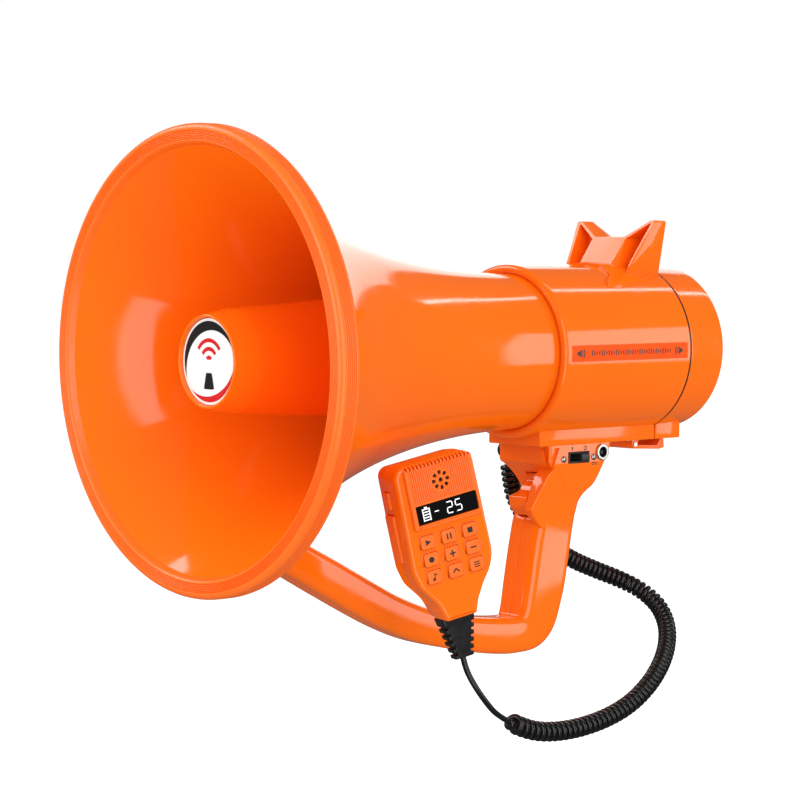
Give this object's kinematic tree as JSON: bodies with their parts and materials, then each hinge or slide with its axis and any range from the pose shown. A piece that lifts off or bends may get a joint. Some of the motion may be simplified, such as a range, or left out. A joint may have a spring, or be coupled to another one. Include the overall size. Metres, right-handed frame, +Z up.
{
  "type": "handheld megaphone",
  "caption": "Orange handheld megaphone: flared horn, barrel with rear cap, pistol grip on a front bow, and a keypad speaker microphone on a curly cord.",
  "frame": {"origin": "centre of the pistol grip, where the palm closes on it", "axes": "+X from the mouth to the rear cap, +Z up, -Y to the side with the power switch"},
  "size_m": [0.336, 0.23, 0.3142],
  "materials": {
    "orange_gloss": "glossy injection-moulded ABS",
    "orange_rim": "ridged soft orange edging",
    "black_rubber": "satin black rubber",
    "black_plastic": "fine matte black",
    "cord_black": "glossy black PU cord jacket",
    "badge_print": "white printed disc under clear coat",
    "label_print": "printed orange film",
    "bright_steel": "nickel plated",
    "zinc_steel": "zinc plated steel",
    "ferrite": "sintered ferrite",
    "film": "phenolic film",
    "copper_coil": "enamelled copper wire",
    "board_green": "glass-fibre board with solder mask",
    "alu_fins": "extruded aluminium",
    "cell_wrap": "blue shrink wrap",
    "window": "smoked acrylic"
  },
  "bodies": {
    "megaphone": {"bell": "orange_gloss", "rim_guard": "orange_rim", "reflector_cup": "orange_gloss", "badge_disc": "badge_print", "throat_horn": "orange_gloss", "reflector_spider": "orange_gloss", "driver_front_plate": "zinc_steel", "diaphragm": "film", "voice_coil": "copper_coil", "driver_magnet": "ferrite", "driver_yoke": "zinc_steel", "driver_cover": "black_plastic", "barrel_shell": "orange_gloss", "cap_gasket": "black_rubber", "top_cradle": "orange_gloss", "side_label": "label_print", "battery_holder": "black_plastic", "battery_cells": "cell_wrap", "battery_contacts": "bright_steel", "amplifier_board": "board_green", "board_components": "black_plastic", "heat_sink": "alu_fins", "latch_ears": "orange_gloss", "latch_pin": "bright_steel", "handle_left_shell": "orange_gloss", "handle_right_shell": "orange_gloss", "handle_screws": "zinc_steel", "trigger_microswitch": "black_plastic", "switch_frame": "black_plastic", "switch_screws": "bright_steel", "dc_jack_bezel": "bright_steel", "dc_jack_socket": "black_plastic", "cord_gland": "black_rubber", "cord_coil": "cord_black", "cord_lead": "cord_black"},
    "microphone": {"mic_front_shell": "orange_gloss", "mic_back_shell": "orange_gloss", "mic_screws": "zinc_steel", "display_window": "window", "display_module": "black_plastic", "mic_board": "board_green", "mic_capsule": "black_plastic", "mic_boot": "black_rubber"},
    "rear_cap": {"rear_cap": "orange_gloss"},
    "latch": {"cap_latch": "orange_gloss"},
    "trigger": {"trigger": "orange_gloss"},
    "power_knob": {"switch_knob": "black_plastic"},
    "talk_bar": {"ptt_bar": "orange_gloss"},
    "side_button": {"side_button": "orange_gloss"},
    "key_1": {"key_1": "orange_gloss"},
    "key_2": {"key_2": "orange_gloss"},
    "key_3": {"key_3": "orange_gloss"},
    "key_4": {"key_4": "orange_gloss"},
    "key_5": {"key_5": "orange_gloss"},
    "key_6": {"key_6": "orange_gloss"},
    "key_7": {"key_7": "orange_gloss"},
    "key_8": {"key_8": "orange_gloss"},
    "key_9": {"key_9": "orange_gloss"}
  },
  "joints": [
    {"name": "cap_pull", "type": "slide", "parent": "megaphone", "child": "rear_cap", "axis": [1, 0, 0], "range_m": [0, 0.04]},
    {"name": "latch_swing", "type": "hinge", "parent": "megaphone", "child": "latch", "pos_m": [0.064, 0, 0.0614], "axis": [0, 1, 0], "range_deg": [0, 60]},
    {"name": "trigger_pull", "type": "slide", "parent": "megaphone", "child": "trigger", "axis": [1, 0, 0], "range_m": [0, 0.003], "stiffness_N_per_m": 500, "springref_m": -0.002},
    {"name": "power_slide", "type": "slide", "parent": "megaphone", "child": "power_knob", "axis": [-1, 0, 0], "range_m": [0, 0.007]},
    {"name": "mic_reach", "type": "slide", "parent": "megaphone", "child": "microphone", "axis": [0, -1, 0], "range_m": [0, 0.12], "deforming": ["cord_coil", "cord_lead"]},
    {"name": "talk_press", "type": "slide", "parent": "microphone", "child": "talk_bar", "axis": [0.9366, -0.2686, 0.225], "range_m": [0, 0.0012], "stiffness_N_per_m": 700, "springref_m": -0.001},
    {"name": "side_press", "type": "slide", "parent": "microphone", "child": "side_button", "axis": [0.9366, -0.2686, 0.225], "range_m": [0, 0.001], "stiffness_N_per_m": 500, "springref_m": -0.001},
    {"name": "key_1_press", "type": "slide", "parent": "microphone", "child": "key_1", "axis": [0.2756, 0.9613, 0], "range_m": [0, 0.0006], "stiffness_N_per_m": 400, "springref_m": -0.0008},
    {"name": "key_2_press", "type": "slide", "parent": "microphone", "child": "key_2", "axis": [0.2756, 0.9613, 0], "range_m": [0, 0.0006], "stiffness_N_per_m": 400, "springref_m": -0.0008},
    {"name": "key_3_press", "type": "slide", "parent": "microphone", "child": "key_3", "axis": [0.2756, 0.9613, 0], "range_m": [0, 0.0006], "stiffness_N_per_m": 400, "springref_m": -0.0008},
    {"name": "key_4_press", "type": "slide", "parent": "microphone", "child": "key_4", "axis": [0.2756, 0.9613, 0], "range_m": [0, 0.0006], "stiffness_N_per_m": 400, "springref_m": -0.0008},
    {"name": "key_5_press", "type": "slide", "parent": "microphone", "child": "key_5", "axis": [0.2756, 0.9613, 0], "range_m": [0, 0.0006], "stiffness_N_per_m": 400, "springref_m": -0.0008},
    {"name": "key_6_press", "type": "slide", "parent": "microphone", "child": "key_6", "axis": [0.2756, 0.9613, 0], "range_m": [0, 0.0006], "stiffness_N_per_m": 400, "springref_m": -0.0008},
    {"name": "key_7_press", "type": "slide", "parent": "microphone", "child": "key_7", "axis": [0.2756, 0.9613, 0], "range_m": [0, 0.0006], "stiffness_N_per_m": 400, "springref_m": -0.0008},
    {"name": "key_8_press", "type": "slide", "parent": "microphone", "child": "key_8", "axis": [0.2756, 0.9613, 0], "range_m": [0, 0.0006], "stiffness_N_per_m": 400, "springref_m": -0.0008},
    {"name": "key_9_press", "type": "slide", "parent": "microphone", "child": "key_9", "axis": [0.2756, 0.9613, 0], "range_m": [0, 0.0006], "stiffness_N_per_m": 400, "springref_m": -0.0008}
  ]
}
